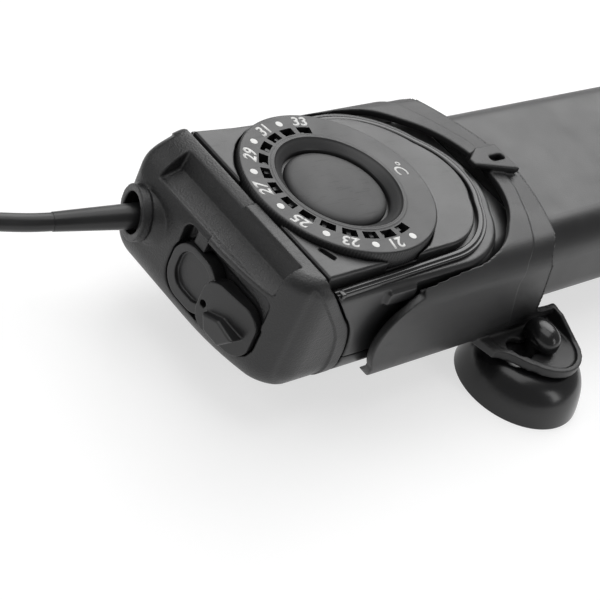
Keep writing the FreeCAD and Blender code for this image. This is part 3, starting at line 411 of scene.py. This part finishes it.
def local_mm(obj):
    """Vertex positions in the dial's frame and normals, as arrays."""
    n = len(obj.data.vertices)
    co = np.empty(n * 3)
    no = np.empty(n * 3)
    obj.data.vertices.foreach_get("co", co)
    obj.data.vertices.foreach_get("normal", no)
    world = np.array(obj.matrix_world)
    co = co.reshape(-1, 3) @ world[:3, :3].T + world[:3, 3]
    return (co - np.array(DIAL)) * 1000.0, no.reshape(-1, 3)


def push(obj, amount_mm, normals):
    n = len(obj.data.vertices)
    co = np.empty(n * 3)
    obj.data.vertices.foreach_get("co", co)
    co = co.reshape(-1, 3) + normals * amount_mm[:, None] * 0.001
    obj.data.vertices.foreach_set("co", co.ravel())
    obj.data.update()


coarse = 1.0
SEGS = 1440
cap = remould("end_cap", "heater", 0.00030 * coarse, 3)
remould("lock_key", "lock_key", 0.00018 * coarse, 3)
remould("upper_housing", "heater", 0.0004 * coarse, 3)
remould("lower_housing", "heater", 0.0004 * coarse, 3)
remould("face_plate", "heater", 0.00026 * coarse, 3)
sleeve = remould("holder_sleeve", "holder", 0.00032 * coarse, 4)

# the cap's rim: a band as wide as a finger nail stands a little proud along
# the joint, and fades out towards the end face
view_layer.update()
co, no = local_mm(cap)
x, y, z = co[:, 0], co[:, 1], co[:, 2]
joint = np.where(z > -2.6, -27.0, np.where(z > -13.9, -27.0 + (-2.6 - z) * 0.814,
                 np.interp(-z, [13.9, 16.0, 20.0, 24.0, 28.0, 50.0], [-17.8, -16.1, -13.7, -12.4, -11.8, -11.8])))
behind = joint - x
sink = soft(behind, 3.7, 4.1) * soft(x, -36.0, -31.0) * np.maximum(soft(np.abs(y), 28.0, 29.5), soft(-z, 34.0, 36.5))
push(cap, -0.42 * sink, no)
# the holder's rear strip lies a step lower than the rest
co, no = local_mm(sleeve)
x, y, z = co[:, 0], co[:, 1], co[:, 2]
u = np.abs(y) + np.maximum(0.0, -5.6 - z)
edge = np.interp(u, [0.0, 10.8, 20.8, 29.0, 36.8, 44.2, 50.1, 60.2, 75.0], [63.4, 60.8, 55.5, 49.7, 45.0, 43.9, 46.0, 50.2, 55.0])
outward = np.clip(np.sign(y) * no[:, 1], 0, 1) * soft(np.abs(y), 30.0, 33.0) + np.clip(no[:, 2], 0, 1) * soft(z, -9.5, -7.5)
sink = soft(x, edge, edge + 0.45) * soft(outward, 0.2, 0.6) * soft(z, -33.5, -31.5) * (np.abs(y) < 35.4) * (z < -5.2)
push(sleeve, -0.5 * sink, no)


# ------------------------------------------------------------------- dial
def window_angle(n):
    return math.radians((n - 26.5) * -15.92 + 181.3)


def build_dial():
    top = [(25.67, 0.0), (25.45, 0.0), (24.4, 0.0), (22.8, 0.0), (21.15, 0.0), (18.65, 0.0), (18.45, 0.0)]
    profile = [(3.6, -3.4), (12.0, -3.4), (18.45, -3.4), (18.65, -3.4), (21.15, -3.4), (24.9, -3.4), (24.9, -5.0),
               (26.35, -5.0), (26.5, -4.85), (26.5, -3.2), (26.5, -0.62), (26.44, -0.4), (26.3, -0.22), (26.1, -0.08),
        (25.95, -0.02)] + top + [
        (18.2, 0.02), (18.02, 0.1), (17.8, 0.14), (17.6, 0.12), (17.48, 0.14), (17.3, 0.2),
        (17.14, 0.19), (17.0, 0.08), (16.88, -0.08), (16.5, -0.28), (15.7, -0.86), (14.95, -1.42), (14.55, -1.74),
        (14.42, -1.95), (14.4, -3.1), (3.6, -3.1)]
    n = len(profile)
    in_window = np.zeros((SEGS, 2), bool)
    step = 360.0 / SEGS
    for number in range(20, 34):
        centre = math.degrees(window_angle(number)) % 360.0
        for j in range(SEGS):
            off = (((j + 0.5) * step - centre) + 180.0) % 360.0 - 180.0
            if abs(off) < 5.75:
                in_window[j, 0] = True
            if abs(off) < 0.0:
                in_window[j, 1] = True
    verts, faces = [], []
    for j in range(SEGS):
        a = 2 * math.pi * j / SEGS
        tooth = 0.5 - 0.5 * math.cos(a * 180.0)
        for r, z in profile:
            rr = r
            if r > 26.2 and -4.6 < z < -0.3:
                rr = r - 0.12 * tooth
            verts.append((rr * math.cos(a), rr * math.sin(a), z))
    t0 = profile.index((21.15, 0.0))
    b0 = profile.index((18.45, -3.4))
    for j in range(SEGS):
        k = (j + 1) % SEGS
        for i in range(n):
            m = (i + 1) % n
            if (i == t0 or i == b0 + 1) and in_window[j, 0]:
                continue
            if (i == t0 + 1 or i == b0) and in_window[j, 1]:
                continue
            faces.append([j * n + i, j * n + m, k * n + m, k * n + i])
        # walls of the windows
        for cell, outer_t, inner_t, outer_b, inner_b in ((0, t0, t0 + 1, b0 + 2, b0 + 1), (1, t0 + 1, t0 + 2, b0 + 1, b0)):
            if not in_window[j, cell]:
                continue
            if not in_window[k, cell]:
                faces.append([k * n + outer_t, k * n + inner_t, k * n + inner_b, k * n + outer_b])
            if not in_window[j - 1, cell]:
                faces.append([j * n + outer_t, j * n + inner_t, j * n + inner_b, j * n + outer_b])
        if in_window[j, 0]:
            faces.append([j * n + t0, k * n + t0, k * n + b0 + 2, j * n + b0 + 2])
            if not in_window[j, 1]:
                faces.append([j * n + t0 + 1, k * n + t0 + 1, k * n + b0 + 1, j * n + b0 + 1])
        if in_window[j, 1]:
            faces.append([j * n + t0 + 2, k * n + t0 + 2, k * n + b0, j * n + b0])
    return mesh_obj("dial_ring_face", verts, faces, "dial", "dial", ("dial_ring",))


build_dial()
dome_profile = [(0.0, -3.05), (13.5, -3.05)] + curved(
    [(13.74, -2.98), (13.66, -2.55), (13.4, -2.14), (12.95, -1.82), (12.3, -1.57), (11.3, -1.36), (9.4, -1.15), (6.0, -0.93), (2.0, -0.79)], 4) + [
    (0.0, -0.765)]
v, f = lathe(dome_profile, SEGS // 4)
mesh_obj("dial_dome_face", v, f, "dial", "dome", ("dial_dome",), sharp=60)


def printed(name, text, size, angle, radius, slant=0.18, bold=0.06):
    """Raised print on the dial's flat, its tops turned outwards."""
    data = bpy.data.curves.new(name, "FONT")
    data.body = text
    data.size = size
    data.align_x = "CENTER"
    data.align_y = "CENTER"
    data.shear = slant
    data.offset = bold
    data.extrude = 0.02
    data.resolution_u = 6
    tmp = link(bpy.data.objects.new(name + "_tmp", data))
    view_layer.update()
    mesh = bpy.data.meshes.new_from_object(tmp.evaluated_get(bpy.context.evaluated_depsgraph_get()))
    verts = [tuple(v.co) for v in mesh.vertices]
    faces = [tuple(p.vertices) for p in mesh.polygons]
    bpy.data.objects.remove(tmp)
    bpy.data.curves.remove(data)
    bpy.data.meshes.remove(mesh)
    ys = [v[1] for v in verts]
    mid = 0.5 * (min(ys) + max(ys))
    out = (math.cos(angle), math.sin(angle))
    side = (math.sin(angle), -math.cos(angle))
    placed = [(out[0] * (radius + v[1] - mid) + side[0] * v[0], out[1] * (radius + v[1] - mid) + side[1] * v[0],
               0.012 + v[2]) for v in verts]
    return mesh_obj(name, placed, faces, "dial", "print_white", sharp=None)


def dot(name, angle, radius, r):
    cx, cy = radius * math.cos(angle), radius * math.sin(angle)
    v, f = lathe([(0.0, -0.01), (r, -0.01), (r, 0.02), (r - 0.05, 0.03), (0.0, 0.03)], 40)
    return mesh_obj(name, v, f, "dial", "print_white", sharp=None, shift=(cx, cy, 0.0))


for number in range(20, 34):
    if number % 2:
        printed("figure_%d" % number, str(number), 4.75, window_angle(number), 23.4, bold=0.13)
    else:
        dot("mark_%d" % number, window_angle(number), 23.25, 1.0)
printed("figure_unit", "\u00b0C", 5.0, math.radians(1.0), 21.4)


# ------------------------------------------------------------------- rail
def arc_points(p, q, radius, steps):
    """Minor arc from p to q turning left."""
    p, q = np.array(p, float), np.array(q, float)
    mid, half = (p + q) / 2, np.linalg.norm(q - p) / 2
    along = (q - p) / (2 * half)
    centre = mid + np.array([-along[1], along[0]]) * math.sqrt(max(radius ** 2 - half ** 2, 0))
    a, b = math.atan2(*(p - centre)[::-1]), math.atan2(*(q - centre)[::-1])
    if b < a:
        b += 2 * math.pi
    return [centre + radius * np.array([math.cos(a + (b - a) * i / steps), math.sin(a + (b - a) * i / steps)])
            for i in range(steps)]


def arch_line(front_half, mid_half, hip_x, hip_half, apex, hip_r, crown_r):
    pts = [np.array([-26.0, -front_half]) * (1 - t) + np.array([20.0, -mid_half]) * t for t in np.linspace(0, 1, 60)[:-1]]
    pts += arc_points((20.0, -mid_half), (hip_x, -hip_half), hip_r, 60)
    pts += arc_points((hip_x, -hip_half), (apex, 0.0), crown_r, 40)
    pts += arc_points((apex, 0.0), (hip_x, hip_half), crown_r, 40)
    pts += arc_points((hip_x, hip_half), (20.0, mid_half), hip_r, 60)
    pts += [np.array([20.0, mid_half]) * (1 - t) + np.array([-26.0, front_half]) * t for t in np.linspace(0, 1, 60)]
    return np.array(pts)


def smooth_line(line, rounds=14):
    for _ in range(rounds):
        line[1:-1] = 0.5 * line[1:-1] + 0.25 * (line[:-2] + line[2:])
    return line


def build_rail():
    inner = smooth_line(arch_line(28.4, 26.4, 41.7, 12.2, 46.2, 25.6, 18.6))
    outer = smooth_line(arch_line(30.6, 28.9, 43.8, 14.0, 49.0, 28.0, 21.8))
    section = [(0.0, -6.19), (0.0, -5.3), (0.03, -5.05), (0.09, -4.9), (0.18, -4.82), (0.30, -4.80), (0.43, -4.80),
               (0.52, -4.84), (0.57, -4.94), (0.61, -5.10), (0.66, -5.16), (0.71, -5.08), (0.77, -5.03), (0.86, -5.04),
               (0.94, -5.12), (0.99, -5.3), (1.0, -5.5), (1.0, -6.19)]
    verts, faces = [], []
    n = len(section)
    for a, b in zip(inner, outer):
        for t, zz in section:
            p = a * (1 - t) + b * t
            xx = max(p[0], -25.9 + 0.814 * max(0.0, -2.6 - zz))
            verts.append((xx, p[1], zz))
    rows = len(inner)
    for j in range(rows - 1):
        for i in range(n):
            m = (i + 1) % n
            faces.append([j * n + i, j * n + m, (j + 1) * n + m, (j + 1) * n + i])
    faces.append(list(range(n)))
    faces.append([(rows - 1) * n + i for i in range(n)][::-1])
    mesh_obj("rail_ridge", verts, faces, "heater", "trim", ("rail_trim",), sharp=50)


def block(name, lo, hi, bevel, body, slot):
    """A small block with rounded edges."""
    bm = bmesh.new()
    bmesh.ops.create_cube(bm, size=1.0)
    for vert in bm.verts:
        vert.co = Vector([lo[i] + (vert.co[i] + 0.5) * (hi[i] - lo[i]) for i in range(3)])
    bmesh.ops.bevel(bm, geom=list(bm.edges), offset=bevel, segments=4, profile=0.5, affect="EDGES")
    verts = [tuple(vert.co) for vert in bm.verts]
    faces = [[vert.index for vert in face.verts] for face in bm.faces]
    bm.free()
    return mesh_obj(name, verts, faces, body, slot, sharp=None)


build_rail()


def window_teeth():
    """The stop ring's teeth, seen through the windows a step lower."""
    verts, faces = [], []
    for number in range(20, 34):
        a0 = window_angle(number)
        shift = ((number * 5) % 7 - 3) * 0.42
        box = []
        for zz in (-2.3, -0.75):
            grow = 0.0 if zz < -1 else -0.12
            for t, r in ((-0.75 - grow, 18.66), (0.75 + grow, 18.66), (0.6 + grow, 20.0 - 0.1), (-0.6 - grow, 20.0 - 0.1)):
                a = a0 + (t + shift) / 19.6
                box.append((r * math.cos(a), r * math.sin(a), zz))
        base = len(verts)
        verts += box
        for q in ((0, 1, 2, 3), (7, 6, 5, 4), (0, 4, 5, 1), (1, 5, 6, 2), (2, 6, 7, 3), (3, 7, 4, 0)):
            faces.append([base + i for i in q])
    return mesh_obj("dial_window_teeth", verts, faces, "dial", "dial", sharp=40)


window_teeth()
for name, sgn in (("near", -1.0), ("far", 1.0)):
    y0, y1 = sorted((sgn * 28.2, sgn * 30.9))
    block("rail_stop_" + name, (-22.9, y0, -6.1), (-21.5, y1, -4.75), 0.28, "heater", "trim")


# ------------------------------------------------------------ suction cups
def build_cup(node, body, side):
    cx, cy = 59.2, 41.0 * side
    outer = curved([(18.42, -49.98), (18.34, -49.2), (18.0, -47.4), (17.35, -44.9), (16.5, -42.6), (15.2, -40.5),
                    (13.4, -39.0), (11.4, -38.25), (9.0, -37.9), (6.6, -37.72), (5.0, -37.6)], 6)
    profile = [(0.0, -44.2)] + curved([(4.0, -44.25), (8.0, -44.7), (12.6, -46.3), (16.0, -48.7), (17.5, -49.95)], 5) + [
        (17.9, -50.0)] + outer + [(3.25, -37.58), (3.2, -37.4), (3.2, -34.6), (0.0, -34.6)]
    v, f = lathe(profile, 256)
    v = [(a + cx, b + cy, c) for a, b, c in v]
    # knob: a rounded bar across the holder
    levels = [(-34.55, 0.80), (-34.45, 0.94), (-34.2, 1.0), (-33.2, 1.0), (-32.2, 0.985), (-31.4, 0.95), (-30.6, 0.87),
              (-30.0, 0.77), (-29.5, 0.64), (-29.1, 0.47), (-28.9, 0.30), (-28.82, 0.14)]
    rim = 96
    base = len(v)
    for zz, k in levels:
        for j in range(rim):
            a = 2 * math.pi * j / rim
            hx, hy = 4.25 * k, 5.5 - 4.25 * (1 - k)
            e = 2.0 / 2.35
            px = hx * math.copysign(abs(math.cos(a)) ** e, math.cos(a))
            py = hy * math.copysign(abs(math.sin(a)) ** e, math.sin(a))
            tilt = 1.0 - 0.06 * (py * side / 5.5)
            v.append((cx + px, cy + py, -34.55 + (zz + 34.55) * min(tilt, 1.0)))
    for i in range(len(levels) - 1):
        for j in range(rim):
            k = (j + 1) % rim
            f.append([base + i * rim + j, base + i * rim + k, base + (i + 1) * rim + k, base + (i + 1) * rim + j])
    f.append([base + j for j in range(rim)][::-1])
    f.append([base + (len(levels) - 1) * rim + j for j in range(rim)])
    mesh_obj(node + "_skin", v, f, body, "cup", (node,), sharp=55)


build_cup("suction_cup_near", "cup_near", -1.0)
build_cup("suction_cup_far", "cup_far", 1.0)

# ------------------------------------------------------- floor and lights
def add_floor():
    bm = bmesh.new()
    bmesh.ops.create_grid(bm, x_segments=2, y_segments=2, size=4.0)
    mesh = bpy.data.meshes.new("floor")
    bm.to_mesh(mesh)
    bm.free()
    obj = link(bpy.data.objects.new("floor", mesh))
    mat, nt, bsdf = node_tree("floor_paper")
    bsdf.inputs["Base Color"].default_value = (0.42, 0.42, 0.42, 1)
    bsdf.inputs["Roughness"].default_value = 0.7
    bsdf.inputs["Specular IOR Level"].default_value = 0.1
    bsdf.inputs["Emission Color"].default_value = (1, 1, 1, 1)
    bsdf.inputs["Emission Strength"].default_value = 0.62
    paint(obj, mat)
    obj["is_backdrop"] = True
    return obj


add_floor()


def area(name, at, target, size, power, size_y=None):
    data = bpy.data.lights.new(name, "AREA")
    data.energy = power
    data.size = size
    if size_y:
        data.shape = "RECTANGLE"
        data.size_y = size_y
    obj = link(bpy.data.objects.new(name, data))
    obj.location = at
    obj.rotation_mode = "QUATERNION"
    obj.rotation_quaternion = (Vector(target) - Vector(at)).to_track_quat("-Z", "Y")
    return obj


area("key", (0.62, 0.52, 0.72), (-0.05, 0.0, 0.03), 0.9, 8.4)
area("top", (-0.1, 0.15, 1.05), (-0.05, 0.0, 0.03), 0.9, 4.6)
area("left", (-0.75, 0.35, 0.5), (-0.05, 0.0, 0.03), 0.35, 1.2)
area("front", (0.35, -0.8, 0.45), (-0.0, 0.0, 0.03), 0.22, 1.3, 0.6)
world = bpy.data.worlds.new("studio")
world.use_nodes = True
world.node_tree.nodes["Background"].inputs[0].default_value = (1, 1, 1, 1)
world.node_tree.nodes["Background"].inputs[1].default_value = 0.28
scene.world = world
scene.view_settings.view_transform = "Standard"

# ---------------------------------------------------------------- closing
view_layer.update()
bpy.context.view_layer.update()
# a curve's own box is padded by its points' radius, so the cord is also
# measured as a mesh
deps = bpy.context.evaluated_depsgraph_get()
corners = []
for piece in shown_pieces():
    shown = piece.evaluated_get(deps)
    if piece.type == "CURVE":
        skin = shown.to_mesh()
        corners += [shown.matrix_world @ v.co for v in skin.vertices]
        shown.to_mesh_clear()
    else:
        corners += [shown.matrix_world @ Vector(c) for c in shown.bound_box]
